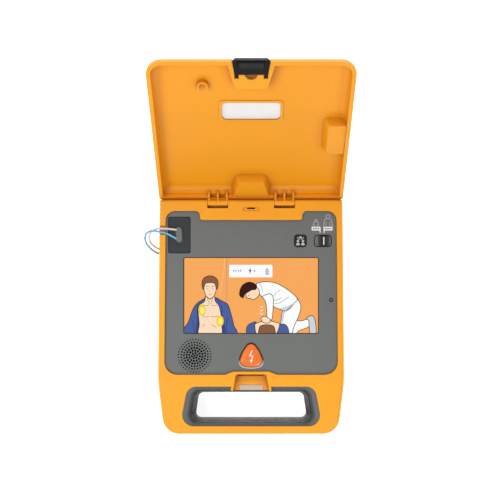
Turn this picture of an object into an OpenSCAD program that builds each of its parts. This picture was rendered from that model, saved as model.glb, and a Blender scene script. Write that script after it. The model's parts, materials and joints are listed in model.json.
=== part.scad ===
// Automated external defibrillator, open, lying on its back.
// Origin: middle of the back face under the case. +Z points out of the control panel,
// +Y points from the carrying handle to the lid hinge, +X to the right.

/* [Case] */
// Width of the case across the panel
case_w = 213; // [208:1:216]
// Distance from the origin to the front edge of the handle
case_front = 146; // [144:1:150]
// Height of the case without the lid
case_h = 56; // [56:1:60]
// Wall thickness of the moulded shells
wall = 3; // [2.6:0.1:3.4]
// Height of the joint line between the back shell and the front frame
seam_z = 30; // [29:1:32]
// Thickness of the rubber seal in the joint line
seal_t = 0.8; // [0.6:0.1:1]

/* [Lid] */
// How far the lid stands open at rest, in degrees
lid_open = 129; // [95:1:130]
// Height of the closed lid above the case
lid_h = 15; // [15:1:17]
// Width of the clear window in the lid
window_w = 63; // [50:1:70]
// Length of the clear window in the lid
window_l = 25; // [20:1:28]

/* [Panel] */
// Visible width of the screen
screen_w = 157; // [150:1:158]
// Visible height of the screen
screen_l = 89; // [80:1:90]
// Radius of the speaker grille
grille_r = 19.9; // [19.9:0.1:20.2]
// Travel of the shock button
shock_travel = 1.5; // [1:0.1:1.6]
// Side of the square language button
language_side = 14; // [12:0.5:15]
// Travel of the patient selector
slider_travel = 4.5; // [3:0.1:5]

/* [Leads] */
// Outside diameter of one electrode lead
lead_d = 2.6; // [2.2:0.1:2.8]

/* [Hidden] */
$fn = 48;
eps = 0.01;
gap = 0.3;

// Colours
orange = [0.96, 0.6, 0.12];
panel_grey = [0.42, 0.43, 0.43];
dark_grey = [0.22, 0.23, 0.24];
black = [0.08, 0.08, 0.09];

// Heights through the case
floor_z = wall;
skin_z = case_h - 8.6;
fascia_z = case_h - 6;
fascia_t = 3;
panel_z = fascia_z + fascia_t;
ledge = 1.8;
front_z = seam_z + seal_t / 2;
back_z = seam_z - seal_t / 2;

// Hinge
hinge_y = 122;
hinge_z = case_h - 4;
case_back = hinge_y + 4;
pin_r = 2;
bore_r = pin_r + 0.05;
knuckle_r = 4;
knuckle_x = [27, 50];
knuckle_rib = 2.4;
knuckle_bay = (knuckle_x[1] - knuckle_x[0] - 3 * knuckle_rib) / 2;
knuckle_bays = [knuckle_x[0] + knuckle_rib, knuckle_x[1] - knuckle_rib - knuckle_bay];
hinge_pocket_y = 116;

// Lid, in its closed place
rim_z = case_h + 0.4;
lid_z = case_h + lid_h;
lid_back = hinge_y - 1;
lid_front = -85.6;
lid_x = case_w / 2 + 0.3;
lid_floor_z = lid_z - wall;
window_y = -7.5;

// Latch, in its closed place
latch_back = -68;
latch_arm_back = -63.4;
latch_arm = [13.4, 16.4];
latch_pivot = [-66.6, rim_z + 6];
latch_pin_r = 1.5;

// Latch recess in the case
recess_w = 39.2;
recess_back = -75.8;
recess_z = case_h - 9;
tongue_front = -95.4;

// Controls on the panel
speaker_at = [-65.4, -54.6];
shock_at = [0, -54.2];
language_at = [57, 78.3];
slider_at = [83, 78.3];
slider_slot = [20.6, 14.3];
microphone_at = [92.6, 10];
socket_at = [-83, 85];
socket_size = [25.6, 42];
screen_y = 15;

// Compartments in the back shell: left, right, front, back and height
battery_bay = [19, 93, -68, 18, 26];
pads_bay = [-96, 13, 23, 101, 26];
bay_wall = 2;
screw_places = [[-96, 108], [96, 108], [-96.5, -78], [96.5, -78], [-92, -122], [92, -122]];

// Electrode leads: from the boot over the left edge and into the pads compartment
white_route = [[-86, 91, 54.2], [-92, 91.8, 54.4], [-98, 92.4, 54.5], [-104, 92.6, 54.6],
    [-108.5, 92.3, 53.6], [-113, 90.8, 50.4], [-116.6, 88, 46], [-119, 84.2, 41],
    [-119.4, 79.8, 35.8], [-117.8, 75.6, 30.8], [-114.6, 72, 26.4], [-110.6, 69.6, 23],
    [-106.8, 68.4, 20.8], [-103, 68, 20]];
blue_route = [[-86, 80.5, 54.2], [-91, 83.4, 54.4], [-95.5, 85.8, 54.4], [-100, 87.4, 54.4],
    [-104.5, 88.3, 54.6], [-109, 89.2, 55], [-113.4, 89.8, 54.8], [-117.6, 89.2, 53],
    [-121.2, 87, 49.6], [-123.6, 82.8, 44.8], [-123.6, 77.6, 39], [-121, 72.4, 33],
    [-117, 67.8, 27.6], [-112.2, 64.6, 23.4], [-107, 63, 20.8], [-102, 62.8, 19.6]];
grommet_at = [-104.9, 65.4, 19.8];
grommet_size = [6, 13, 7];

// ---------- outlines ----------

function unit(v) = v / norm(v);

// Points of the arc that rounds corner p between a and b
function corner(a, p, b, r, n = 7) =
    let (u = unit([a[0] - p[0], a[1] - p[1]]), v = unit([b[0] - p[0], b[1] - p[1]]),
         half = acos(max(-1, min(1, u * v))) / 2,
         c = [p[0], p[1]] + unit(u + v) * r / sin(half),
         s = [p[0], p[1]] + u * r / tan(half) - c,
         e = [p[0], p[1]] + v * r / tan(half) - c,
         a0 = atan2(s[1], s[0]), turn = atan2(e[1], e[0]) - a0,
         sweep = turn > 180 ? turn - 360 : turn < -180 ? turn + 360 : turn)
    [for (i = [0:n]) c + r * [cos(a0 + sweep * i / n), sin(a0 + sweep * i / n)]];

// A polygon of [x, y, radius] corners, with every corner rounded
function rounded(pts) =
    let (n = len(pts))
    [for (i = [0:n - 1])
        each corner(pts[(i + n - 1) % n], pts[i], pts[(i + 1) % n], pts[i][2])];

// Moves every corner towards the middle height y by d in both directions
function inset(pts, d, y = 0) =
    [for (p = pts) [p[0] - sign(p[0]) * d, p[1] - sign(p[1] - y) * d, max(p[2] - d, 1)]];

function rectangle(x0, x1, y0, y1, r) = [[x0, y0, r], [x1, y0, r], [x1, y1, r], [x0, y1, r]];

function mirrored(half) =
    concat(half, [for (i = [len(half) - 1:-1:0]) [-half[i][0], half[i][1], half[i][2]]]);

// The case's outline, made smaller by d at the sides and the front
function case_outline(d = 0) =
    mirrored([[case_w / 2 - d, case_back, 2], [case_w / 2 + 2 - d, -85, 160],
              [case_w / 2 - 5.5 - d, -case_front + d, 20 - d]]);
// The panel's outline, made smaller by d on every side
function fascia_outline(d = 0) =
    mirrored([[58.5 + d, 102.3 - d, 2.5], [60 + d, 112.7 - d, 5], [98.5 - d, 112.7 - d, 11],
              [100.2 - d, -76.3 + d, 15], [30 + d, -76.3 + d, 9], [21 + d, -72.7 + d, 9]]);
function grip_outline() = mirrored([[73.4, -90, 12], [82.3, -135.7, 13]]);
function hole_outline() = mirrored([[61.4, -99.3, 7], [66, -131, 6.5]]);
function tongue_outline(d = 0) = mirrored([[20 + d, -72, 1], [24 + d, tongue_front - d, 2.5]]);
function latch_outline(d, front) =
    mirrored([[16.6 - d, latch_back, 1], [19.4 - d, lid_front - 0.6 + front, 2.5]]);
function shock_outline() =
    [[0, 17.2, 6], [-9.5, 4.2, 24], [-15.4, -11.4, 7], [0, -14.2, 38],
     [15.4, -11.4, 7], [9.5, 4.2, 24]];
// Corners between two outlines, from a at 0 to b at 1
function between(a, b, t) = [for (i = [0:len(a) - 1]) a[i] * (1 - t) + b[i] * t];

module slab(outline, z0, z1) {
    translate([0, 0, z0]) linear_extrude(z1 - z0) polygon(rounded(outline));
}

module block(x0, x1, y0, y1, z0, z1) {
    translate([x0, y0, z0]) cube([x1 - x0, y1 - y0, z1 - z0]);
}

// A solid through levels of [height, inset, more inset at the front] of the lid's outline
module lid_levels(levels) {
    hull() for (l = levels)
        slab(mirrored([[lid_x - l[1], lid_back + 0.5 - l[1], max(5 - l[1], 1.5)],
                       [lid_x + 0.8 - l[1], lid_front + l[1] + l[2], max(17 - l[1], 1)]]),
             l[0], l[0] + eps);
}

// A solid through levels of [height, inset] of one outline
module lofted(outline, levels, y = 0) {
    hull() for (l = levels) slab(inset(outline, l[1], y), l[0], l[0] + eps);
}

module along_x(x0, x1, r, y, z) {
    translate([x0, y, z]) rotate([0, 90, 0]) cylinder(h = x1 - x0, r = r);
}

module both_sides() {
    children();
    mirror([1, 0, 0]) children();
}

// ---------- swept tubes ----------

function spline(p, i, t) =
    let (n = len(p) - 1, a = p[max(i - 1, 0)], b = p[i], c = p[min(i + 1, n)],
         d = p[min(i + 2, n)])
    0.5 * (2 * b + (c - a) * t + (2 * a - 5 * b + 4 * c - d) * t * t
           + (3 * b - a - 3 * c + d) * t * t * t);
function smooth(p, steps) =
    concat([for (i = [0:len(p) - 2]) for (k = [0:steps - 1]) spline(p, i, k / steps)],
           [p[len(p) - 1]]);

module tube(path, r, sides) {
    n = len(path);
    up = [0, 0, 1];
    tangent = [for (i = [0:n - 1]) unit(path[min(i + 1, n - 1)] - path[max(i - 1, 0)])];
    side = [for (t = tangent) unit(cross(t, abs(t[2]) > 0.95 ? [1, 0, 0] : up))];
    points = [for (i = [0:n - 1]) for (k = [0:sides - 1])
        path[i] + r * (cos(360 * k / sides) * side[i]
                       + sin(360 * k / sides) * cross(side[i], tangent[i]))];
    walls = [for (i = [0:n - 2]) for (k = [0:sides - 1])
        let (a = i * sides + k, b = i * sides + (k + 1) % sides)
        each [[a, a + sides, b + sides], [a, b + sides, b]]];
    ends = [[for (k = [0:sides - 1]) k], [for (k = [sides - 1:-1:0]) (n - 1) * sides + k]];
    polyhedron(points, concat(walls, ends), convexity = 6);
}

// ---------- case ----------

module handle_opening(z0, z1) {
    difference() {
        slab(grip_outline(), z0, z1);
        slab(tongue_outline(), z0 - 1, z1 + 1);
    }
}

// The inside of a shell between two heights: open but for a wall round the handle opening
module shell_inside(z0, z1) {
    difference() {
        slab(inset(case_outline(), wall), z0, z1);
        slab(inset(grip_outline(), -wall, -112), z0 - 1, z1 + 1);
        slab(tongue_outline(), z0 - 1, z1 + 1);
    }
}

module bay_walls(b) {
    block(b[0] - bay_wall, b[1] + bay_wall, b[2] - bay_wall, b[3] + bay_wall, 0.5, b[4] + 2);
}

module bay_space(b) {
    slab(rectangle(b[0], b[1], b[2], b[3], 3), -1, b[4]);
}

module back_shell() color(orange) difference() {
    union() {
        difference() {
            lofted(case_outline(), [[0, 5], [0.8, 2.8], [2.6, 1.2], [6, 0.5],
                                    [back_z - eps, 0]]);
            shell_inside(floor_z, back_z + 1);
        }
        bay_walls(battery_bay);
        bay_walls(pads_bay);
        for (p = screw_places) translate([p[0], p[1], 1]) cylinder(h = back_z - 1, r = 4.4);
    }
    handle_opening(-1, back_z + 1);
    bay_space(battery_bay);
    bay_space(pads_bay);
    block(50 - gap, 62 + gap, 5 - gap, 13 + gap, 20, 32);
    translate(grommet_at - [4, grommet_size[1] / 2, grommet_size[2] / 2])
        cube([14, grommet_size[1], grommet_size[2]]);
    for (p = screw_places) translate([p[0], p[1], -1]) {
        cylinder(h = 7, r = 3.2);
        cylinder(h = back_z + 2, r = 1.7);
    }
}

module hinge_pockets() {
    both_sides() {
        block(knuckle_x[0] - 0.5, knuckle_x[1] + 0.5, hinge_pocket_y, case_back + 5,
              case_h - 9.4, case_h + 5);
        along_x(19, 57, bore_r, hinge_y, hinge_z);
    }
}

module front_frame() color(orange) difference() {
    union() {
        difference() {
            intersection() {
                hull() for (l = [[front_z, 0], [case_h - 5, 0.5], [case_h - 2.4, 1.3],
                                 [case_h - 0.8, 2.6], [case_h - eps, 4]])
                    slab(case_outline(l[1]), l[0], l[0] + eps);
                union() {
                    block(-120, 120, -150, hinge_y, 0, case_h + 1);
                    block(-120, 120, hinge_y - 1, case_back, 0, hinge_z);
                    along_x(-120, 120, knuckle_r, hinge_y, hinge_z);
                }
            }
            shell_inside(front_z - 1, skin_z);
        }
        both_sides() block(17, 59, 110, case_back - 1, case_h - 12.4, case_h - 5);
        for (p = screw_places)
            translate([p[0], p[1], front_z]) cylinder(h = skin_z - front_z + 1, r = 4);
    }
    slab(fascia_outline(), fascia_z, case_h + 1);
    slab(fascia_outline(ledge), skin_z - 6, case_h);
    handle_opening(front_z - 1, case_h + 1);
    slab(mirrored([[recess_w / 2 - 2, recess_back, 2.5], [recess_w / 2 + 2.2, -100, 1]]),
         recess_z, case_h + 1);
    slab(rectangle(-14, 14, tongue_front - 2, -89, 1), recess_z - 1.6, recess_z + 1);
    // Groove that the latch nose snaps into
    slab(rectangle(-15.2, 15.2, recess_back - 2.8, recess_back - 0.5, 0.8), recess_z - 3,
         recess_z + 1);
    hinge_pockets();
    // Slot over the lid switch
    slab(rectangle(-4.6, 4.6, 115, 116.8, 0.6), skin_z - 1, case_h + 1);
    slab(rectangle(-9.5, 9.5, 112.6, 116.8, 2), case_h - 0.7, case_h + 1);
    // Channel that the electrode leads leave through
    block(-115, -95, 85.4, 95.6, case_h - 3.2, case_h + 1);
    for (p = screw_places) translate([p[0], p[1], front_z - 1]) cylinder(h = 13, r = 1.55);
}

module case_seal() color(black) translate([0, 0, back_z]) difference() {
    slab(inset(case_outline(), 0.7), 0, seal_t);
    slab(inset(case_outline(), wall - 0.3), -1, seal_t + 1);
}

module case_screws() color("silver") for (p = screw_places) translate([p[0], p[1], 0]) {
    difference() {
        translate([0, 0, 3.4]) cylinder(h = 2.6, r = 2.9);
        translate([0, 0, 3]) cylinder(h = 1.8, r = 1.4, $fn = 6);
    }
    translate([0, 0, 6]) cylinder(h = front_z + 5, r = 1.5);
}

// Rubber lining of the handle opening, rolled over towards the hole on both sides
module handle_grip() color(dark_grey) difference() {
    slab(inset(grip_outline(), 0.2, -112), 2, case_h - 0.4);
    slab(hole_outline(), 0, case_h);
    hull() {
        slab(between(hole_outline(), grip_outline(), 0.93), case_h - 1, case_h);
        slab(between(hole_outline(), grip_outline(), 0.62), case_h - 4, case_h - 3.9);
    }
    hull() {
        slab(between(hole_outline(), grip_outline(), 0.62), case_h - 4, case_h - 3.9);
        slab(between(hole_outline(), grip_outline(), 0.3), case_h - 10, case_h - 9.9);
    }
    hull() {
        slab(between(hole_outline(), grip_outline(), 0.3), case_h - 10, case_h - 9.9);
        slab(hole_outline(), case_h - 22, case_h - 21.9);
    }
    hull() {
        slab(between(hole_outline(), grip_outline(), 0.8), 1, 2.1);
        slab(between(hole_outline(), grip_outline(), 0.35), 9, 9.1);
    }
    hull() {
        slab(between(hole_outline(), grip_outline(), 0.35), 9, 9.1);
        slab(hole_outline(), 20, 20.1);
    }
    slab(tongue_outline(0.2), 0, case_h + 1);
}

module status_lens() color([0.8, 0.78, 0.72])
    slab(rectangle(-13.8, 13.8, tongue_front + 0.2, -89.2, 0.9), recess_z - 1.5,
         recess_z + 0.3);

// ---------- panel ----------

module shock_shape(scaling, z0, z1) {
    translate([shock_at[0], shock_at[1], z0])
        linear_extrude(z1 - z0) scale(scaling) polygon(rounded(shock_outline()));
}

module square_at(place, side, r, z0, z1) {
    translate([place[0], place[1], 0])
        slab(rectangle(-side / 2, side / 2, -side / 2, side / 2, r), z0, z1);
}

module socket_window(extra, z0, z1) {
    w = socket_size[0] / 2 + extra;
    l = socket_size[1] / 2 + extra;
    translate([socket_at[0], socket_at[1], 0]) slab(rectangle(-w, w, -l, l, 2.5), z0, z1);
}

module fascia() color(panel_grey) difference() {
    slab(fascia_outline(0.15), fascia_z + 0.05, panel_z);
    translate([0, screen_y, 0])
        slab(rectangle(-screen_w / 2, screen_w / 2, -screen_l / 2, screen_l / 2, 2.5),
             fascia_z - 1, panel_z + 1);
    translate([speaker_at[0], speaker_at[1], fascia_z - 1])
        cylinder(h = fascia_t + 2, r = grille_r + 0.1);
    shock_shape(1.15, fascia_z - 1, panel_z + 1);
    square_at(language_at, language_side + 0.8, 3.8, fascia_z - 1, panel_z + 1);
    translate([slider_at[0], slider_at[1], 0]) {
        slab(rectangle(-slider_slot[0] / 2, slider_slot[0] / 2, -slider_slot[1] / 2,
                       slider_slot[1] / 2, 4), panel_z - 2, panel_z + 1);
        slab(rectangle(1 - 2.4 - slider_travel, 1 + 2.4, -3.4, 3.4, 1), fascia_z - 1, panel_z);
    }
    socket_window(0.25, fascia_z - 1, panel_z + 1);
    translate([microphone_at[0], microphone_at[1], fascia_z - 1]) {
        cylinder(h = fascia_t + 2, r = 1.3);
        translate([0, 0, fascia_t + 0.2]) cylinder(h = 2, r = 2.4);
    }
}

module speaker_grille() color(panel_grey)
    translate([speaker_at[0], speaker_at[1], fascia_z + 0.5]) difference() {
        cylinder(h = fascia_t - 0.5, r = grille_r);
        translate([0, 0, -1]) cylinder(h = 5, r = 1.3, $fn = 16);
        for (ring = [1:6]) for (i = [0:6 * ring - 1])
            rotate(60 * i / ring + 11 * ring) translate([ring * 3.1, 0, -1])
                cylinder(h = 5, r = ring < 4 ? 1.3 : ring < 6 ? 1.55 - 0.1 * ring : 0.75, $fn = 16);
    }

module speaker_driver() color(dark_grey) translate([speaker_at[0], speaker_at[1], 0]) {
    translate([0, 0, fascia_z - 2.4]) difference() {
        cylinder(h = 2.2, r = 17.5);
        translate([0, 0, 0.6]) cylinder(h = 2, r1 = 4, r2 = 15);
    }
    translate([0, 0, fascia_z - 6.4]) cylinder(h = 4, r1 = 11, r2 = 16);
    translate([0, 0, fascia_z - 11.4]) cylinder(h = 5, r = 10.5);
}

module microphone() color("silver")
    translate([microphone_at[0], microphone_at[1], fascia_z - 4]) cylinder(h = 3.8, r = 2.1);

module display_lens() color([0.95, 0.67, 0.36]) translate([0, screen_y, 0])
    slab(rectangle(-screen_w / 2 + 0.2, screen_w / 2 - 0.2, -screen_l / 2 + 0.2,
                   screen_l / 2 - 0.2, 2.3), fascia_z - 0.2, fascia_z + 1.3);

module lcd_module() color("dimgray") translate([0, screen_y, 0])
    slab(rectangle(-screen_w / 2 - 3.5, screen_w / 2 + 3.5, -screen_l / 2 - 4,
                   screen_l / 2 + 4, 1), fascia_z - 6, fascia_z - 0.6);

module lcd_gasket() color(black) translate([0, screen_y, 0]) difference() {
    slab(rectangle(-screen_w / 2 - 3.2, screen_w / 2 + 3.2, -screen_l / 2 - 3.6,
                   screen_l / 2 + 3.6, 1), fascia_z - 0.6, fascia_z + 0.05);
    slab(rectangle(-screen_w / 2 - 0.4, screen_w / 2 + 0.4, -screen_l / 2 - 0.4,
                   screen_l / 2 + 0.4, 1), fascia_z - 2, fascia_z + 1);
}

module shock_bezel() color("lightgray") difference() {
    shock_shape(1.14, fascia_z + 0.2, panel_z + 0.3);
    shock_shape(1.03, fascia_z - 1, panel_z + 1);
}

module shock_button() color([0.93, 0.42, 0.13]) {
    shock_shape(1.1, fascia_z - 2, fascia_z + 0.1);
    hull() {
        shock_shape(1, fascia_z, panel_z - 0.2);
        shock_shape(0.94, panel_z + 0.4, panel_z + 0.5);
        shock_shape(0.8, panel_z + 1.1, panel_z + 1.2);
        shock_shape(0.5, panel_z + 1.5, panel_z + 1.6);
    }
}

// Rubber dome and stop that the button comes down on
module dome(r, z0, z1) {
    translate([0, 0, z0]) cylinder(h = (z1 - z0) / 2, r1 = r, r2 = r * 0.7);
    translate([0, 0, (z0 + z1) / 2]) cylinder(h = (z1 - z0) / 2, r = r * 0.5);
}

module shock_dome() color([0.75, 0.75, 0.7]) translate([shock_at[0], shock_at[1], 0])
    dome(8, fascia_z - 8.4, fascia_z - 2 - shock_travel - 0.1);

module button_board() color("darkgreen")
    block(-28, 28, -71, -37, fascia_z - 10, fascia_z - 8.4);

module language_button() color(dark_grey) {
    square_at(language_at, language_side + 3, 3.5, fascia_z - 2, fascia_z - 0.05);
    hull() {
        square_at(language_at, language_side + 0.2, 3.5, fascia_z - 0.5, panel_z);
        square_at(language_at, language_side - 1, 3, panel_z + 0.5, panel_z + 0.6);
    }
}

module mode_slider() color(dark_grey) translate([slider_at[0] + 1, slider_at[1], 0]) {
    slab(rectangle(-6.2, 6.2, -6.2, 6.2, 1.5), panel_z - 1.9, panel_z - 0.9);
    for (x = [-5.2:1.7:5.2]) block(x - 0.45, x + 0.45, -5.6, 5.6, panel_z - 0.91, panel_z);
    slab(rectangle(-1.9, 1.9, -6, 6, 0.9), panel_z - 0.91, panel_z + 0.9);
    block(-2, 2, -3, 3, fascia_z - 1, panel_z - 1.8);
    block(-4, 4, -5, 5, fascia_z - 2, fascia_z - 0.05);
}

module control_board() {
    color("darkgreen") block(46, 96, 68, 96, fascia_z - 8, fascia_z - 6.4);
    color("silver") {
        translate([language_at[0], language_at[1], 0]) dome(4, fascia_z - 6.5, fascia_z - 3.2);
        block(77, 91, 74, 82, fascia_z - 6.5, fascia_z - 2.2);
    }
}

module pads_socket() color("dimgray") difference() {
    socket_window(-2.5, fascia_z - 12, fascia_z - 0.2);
    translate([socket_at[0], socket_at[1], 0])
        slab(rectangle(-7.2, 7.2, -15.2, 15.2, 2), fascia_z - 9, fascia_z + 1);
}

module pads_connector() color(dark_grey) {
    socket_window(0, fascia_z + 0.1, panel_z - 1.4);
    translate([socket_at[0], socket_at[1], 0])
        slab(rectangle(-7, 7, -15, 15, 1.8), fascia_z - 8, fascia_z + 0.2);
}

module cable_boot() color([0.5, 0.51, 0.5]) hull() {
    translate([-83, 80, panel_z - 1.4]) cylinder(h = 3.6, r1 = 4.4, r2 = 3.2, $fn = 32);
    translate([-83.6, 90.6, panel_z - 1.4]) cylinder(h = 3.6, r1 = 4.4, r2 = 3.2, $fn = 32);
}

module white_lead() color([0.93, 0.93, 0.91]) tube(smooth(white_route, 3), lead_d / 2, 8);

module blue_lead() color([0.4, 0.72, 0.92]) tube(smooth(blue_route, 3), lead_d / 2, 8);

module lead_grommet() color(black)
    translate(grommet_at - [3, grommet_size[1] / 2 - 0.15, grommet_size[2] / 2 - 0.15])
        cube([grommet_size[0], grommet_size[1] - 0.3, grommet_size[2] - 0.3]);

// ---------- what the case holds ----------

module electrode_pouch() color([0.8, 0.82, 0.84])
    lofted(rectangle(pads_bay[0] + 2, pads_bay[1] - 2, pads_bay[2] + 2, pads_bay[3] - 2, 6),
           [[3.4, 5], [12, 0.5], [22, 5]], 62);

module pads_door() color(orange) difference() {
    slab(rectangle(pads_bay[0] + gap, pads_bay[1] - gap, pads_bay[2] + gap,
                   pads_bay[3] - gap, 2.8), 0, 2.6);
    // Finger recess
    slab(rectangle(-58, -25, 27, 36, 3), -1, 1.2);
}

module battery_pack() color(dark_grey) difference() {
    slab(rectangle(battery_bay[0] + gap, battery_bay[1] - gap, battery_bay[2] + gap,
                   battery_bay[3] - gap, 2.8), 0, battery_bay[4] - 2);
    slab(rectangle(40, 72, -64, -55, 3), -1, 4);
    for (i = [0:4]) block(44, 68, -48 + i * 4, -46.5 + i * 4, -1, 0.6);
}

module battery_contacts() color("gold") {
    block(50, 62, 5, 13, battery_bay[4] - 1.6, battery_bay[4] + 4);
}

module main_board() {
    color("darkgreen") block(-62, 88, 26, 98, 34, 35.6);
    color(black) {
        block(-40, -18, 50, 72, 35.5, 37);
        block(0, 26, 40, 54, 35.5, 38);
        block(40, 52, 60, 84, 35.5, 38.5);
    }
    color("silver") block(-58, -50, 34, 90, 35.5, 39);
}

module board_posts() color("silver") for (p = [[-56, 30], [82, 30], [-56, 94], [82, 94]])
    translate([p[0], p[1], 28]) cylinder(h = 6, r = 2.5);

module hv_capacitor() color([0.16, 0.2, 0.3]) {
    along_x(-92, -32, 15, -52, 19.5);
    along_x(-32, -28, 3, -46, 19.5);
    along_x(-32, -28, 3, -58, 19.5);
}

module hv_inductor() color([0.72, 0.42, 0.2]) translate([-2, -48, 9.2])
    rotate_extrude() translate([9.5, 0]) circle(r = 5);

module lid_switch() color(black) block(-5, 5, 113.5, 118.5, skin_z - 7, skin_z);

module hinge_pins() color("silver") both_sides() along_x(20, 56.5, pin_r, hinge_y, hinge_z);

// ---------- lid: drawn closed, then turned open ----------

module opened() {
    translate([0, hinge_y, hinge_z]) rotate([-lid_open, 0, 0])
        translate([0, -hinge_y, -hinge_z]) children();
}

module knuckle() {
    difference() {
        union() {
            along_x(knuckle_x[0], knuckle_x[1], knuckle_r - 0.2, hinge_y, hinge_z);
            for (x = [knuckle_x[0], (knuckle_x[0] + knuckle_x[1] - knuckle_rib) / 2,
                      knuckle_x[1] - knuckle_rib])
                translate([x, 0, 0]) rotate([90, 0, 90]) linear_extrude(knuckle_rib)
                    polygon([[hinge_y - 3.4, hinge_z - 1.8], [hinge_y + 1, hinge_z - 3.6],
                             [hinge_y + 3.7, hinge_z + 0.8], [lid_back - 0.4, rim_z + 7],
                             [lid_back - 8, rim_z + 7], [lid_back - 7, rim_z + 1],
                             [lid_back - 4, rim_z]]);
            block(knuckle_x[0], knuckle_x[1], lid_back - wall, lid_back, hinge_z + 2.6,
                  rim_z + 4);
        }
        along_x(knuckle_x[0] - 1, knuckle_x[1] + 1, bore_r, hinge_y, hinge_z);
    }
}

// Raised arch on the lid's floor, open towards the hinge, that a lead is tucked into
module lead_hook(x, y) {
    translate([x, y, lid_floor_z - 5]) difference() {
        union() {
            cylinder(h = 5.5, r = 5.5);
            translate([-5.5, 0, 0]) cube([11, 6, 5.5]);
        }
        translate([0, 0, -1]) cylinder(h = 8, r = 3.5);
        translate([-3.5, 0, -1]) cube([7, 8, 8]);
    }
}

// A boss with sloping walls, from its face at z down to the lid's floor
module lid_boss(face, base, z) {
    hull() {
        slab(face, z, z + 0.5);
        slab(base, lid_floor_z - 0.1, lid_z);
    }
}

// What the lid's outside holds: the tray's walls and floor, and what is moulded into them
module lid_tray() {
    difference() {
        block(-lid_x - 2, lid_x + 2, lid_front - 1, lid_back + 1, rim_z - 2, lid_z + 1);
        lid_levels([[rim_z - 3, 4.6, 0], [rim_z + 6, 5.8, 1], [lid_floor_z - 2.4, 7.6, 2.4],
                    [lid_floor_z - 0.9, 9.4, 3], [lid_floor_z - eps, 12, 3.4]]);
    }
    // Latch housing, switch boss, side boss and window lip
    lid_boss(mirrored([[25.5, lid_front - 2, 2], [16.5, -47.6, 4]]),
             mirrored([[29, lid_front - 2, 2], [19.5, -45.6, 5]]), rim_z + 0.6);
    lid_boss(mirrored([[21, lid_back - 2, 1], [14.5, 93.2, 4]]),
             mirrored([[25, lid_back - 2, 1], [17.5, 90, 6]]), rim_z + 0.8);
    lid_boss(rectangle(82.5, lid_x - 1, 5, 47, 3), rectangle(77.5, lid_x - 1, 1.5, 48, 5),
             rim_z + 1.4);
    slab(rectangle(-window_w / 2 - 3, window_w / 2 + 3, window_y - window_l / 2 - 3,
                   window_y + window_l / 2 + 3, 5), lid_floor_z - 0.6, lid_floor_z + 1);
}

module lid() color(orange) opened() difference() {
    union() {
        intersection() {
            lid_levels([[rim_z, 0.5, 0], [rim_z + 6, 1, 0.8], [lid_z - 4, 2.6, 3.8],
                        [lid_z - 1.2, 5.4, 4.2], [lid_z - eps, 9, 4.2]]);
            lid_tray();
        }
        lead_hook(-50.5, -46.8);
        both_sides() knuckle();
    }
    // Window opening, with a seat for the pane on the outside
    slab(rectangle(-window_w / 2, window_w / 2, window_y - window_l / 2,
                   window_y + window_l / 2, 5.5), lid_floor_z - 2, lid_z + 1);
    slab(rectangle(-window_w / 2 - 2, window_w / 2 + 2, window_y - window_l / 2 - 2,
                   window_y + window_l / 2 + 2, 5), lid_z - 1.6, lid_z + 1);
    // Latch pocket: slots for the two arms, room for the lever behind them and a finger notch
    slab(mirrored([[17.2, latch_back + 0.5, 0.5], [21.4, lid_front - 14, 1]]), rim_z - 2,
         lid_z + 1);
    both_sides() block(latch_arm[0] - 0.7, latch_arm[1] + 0.8, latch_back - 4,
                       latch_arm_back + 1, rim_z - 2, lid_z + 1);
    block(-latch_arm[1], latch_arm[1], latch_back - 4, latch_arm_back + 1, rim_z + 3.4,
          lid_z + 1);
    translate([0, latch_back + 0.5, rim_z - 2]) cylinder(h = 7, r = 6.4);
    along_x(-19, 19, latch_pin_r + 0.05, latch_pivot[0], latch_pivot[1]);
    // Seat of the magnet
    translate([0, 108, rim_z + 2]) cylinder(h = 3.4, r = 4.2);
    // Bays between the hinge ribs
    both_sides() for (x = knuckle_bays)
        block(x, x + knuckle_bay, lid_back - 6.6, lid_back - 1.4, hinge_z + 3.9, rim_z + 5);
}

module lid_window() color([0.93, 0.94, 0.95, 0.5]) opened()
    slab(rectangle(-window_w / 2 - 1.8, window_w / 2 + 1.8, window_y - window_l / 2 - 1.8,
                   window_y + window_l / 2 + 1.8, 4.8), lid_z - 1.5, lid_z - 0.1);

module lid_magnet() color("silver") opened()
    translate([0, 108, rim_z + 2.1]) cylinder(h = 3.2, r = 4.1);

// Lever with a finger face outside the lid, two arms on the pin and a nose that drops into
// the case's recess
module lid_latch() color(black) opened() difference() {
    union() {
        hull() {
            slab(latch_outline(0, 0), rim_z + 0.6, rim_z + 3);
            slab(latch_outline(1, 4), lid_z - 4.6, lid_z - 4.4);
            slab(latch_outline(3, 8.4), lid_z - 1, lid_z - 0.8);
        }
        both_sides() hull() {
            block(latch_arm[0], latch_arm[1], latch_back - 2, latch_arm_back,
                  rim_z + 1, latch_pivot[1] + 3);
            block(latch_arm[0], latch_arm[1], latch_back - 4, latch_back - 3, rim_z + 0.6,
                  latch_pivot[1] + 4);
        }
        slab(mirrored([[14.2, -74.4, 1.5], [15.4, -84.6, 1.5]]), rim_z - 0.2, rim_z + 1);
        hull() {
            slab(mirrored([[13.4, -77.4, 1], [14, -83.8, 1]]), rim_z - 0.3, rim_z);
            slab(mirrored([[12.4, -78.4, 1], [13, -82.2, 1]]), recess_z + 3, recess_z + 3.4);
        }
    }
    along_x(-30, 30, latch_pin_r + 0.05, latch_pivot[0], latch_pivot[1]);
    // Room for the spring
    along_x(-6, 6, 3.5, latch_pivot[0], latch_pivot[1]);
}

module latch_pin() color("silver") opened()
    along_x(-18.8, 18.8, latch_pin_r, latch_pivot[0], latch_pivot[1]);

module latch_spring() color("lightsteelblue") opened()
    tube([for (i = [0:54]) [-4.5 + 9 * i / 54, latch_pivot[0] + 2.5 * cos(30 * i),
                            latch_pivot[1] + 2.5 * sin(30 * i)]], 0.5, 6);

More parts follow.
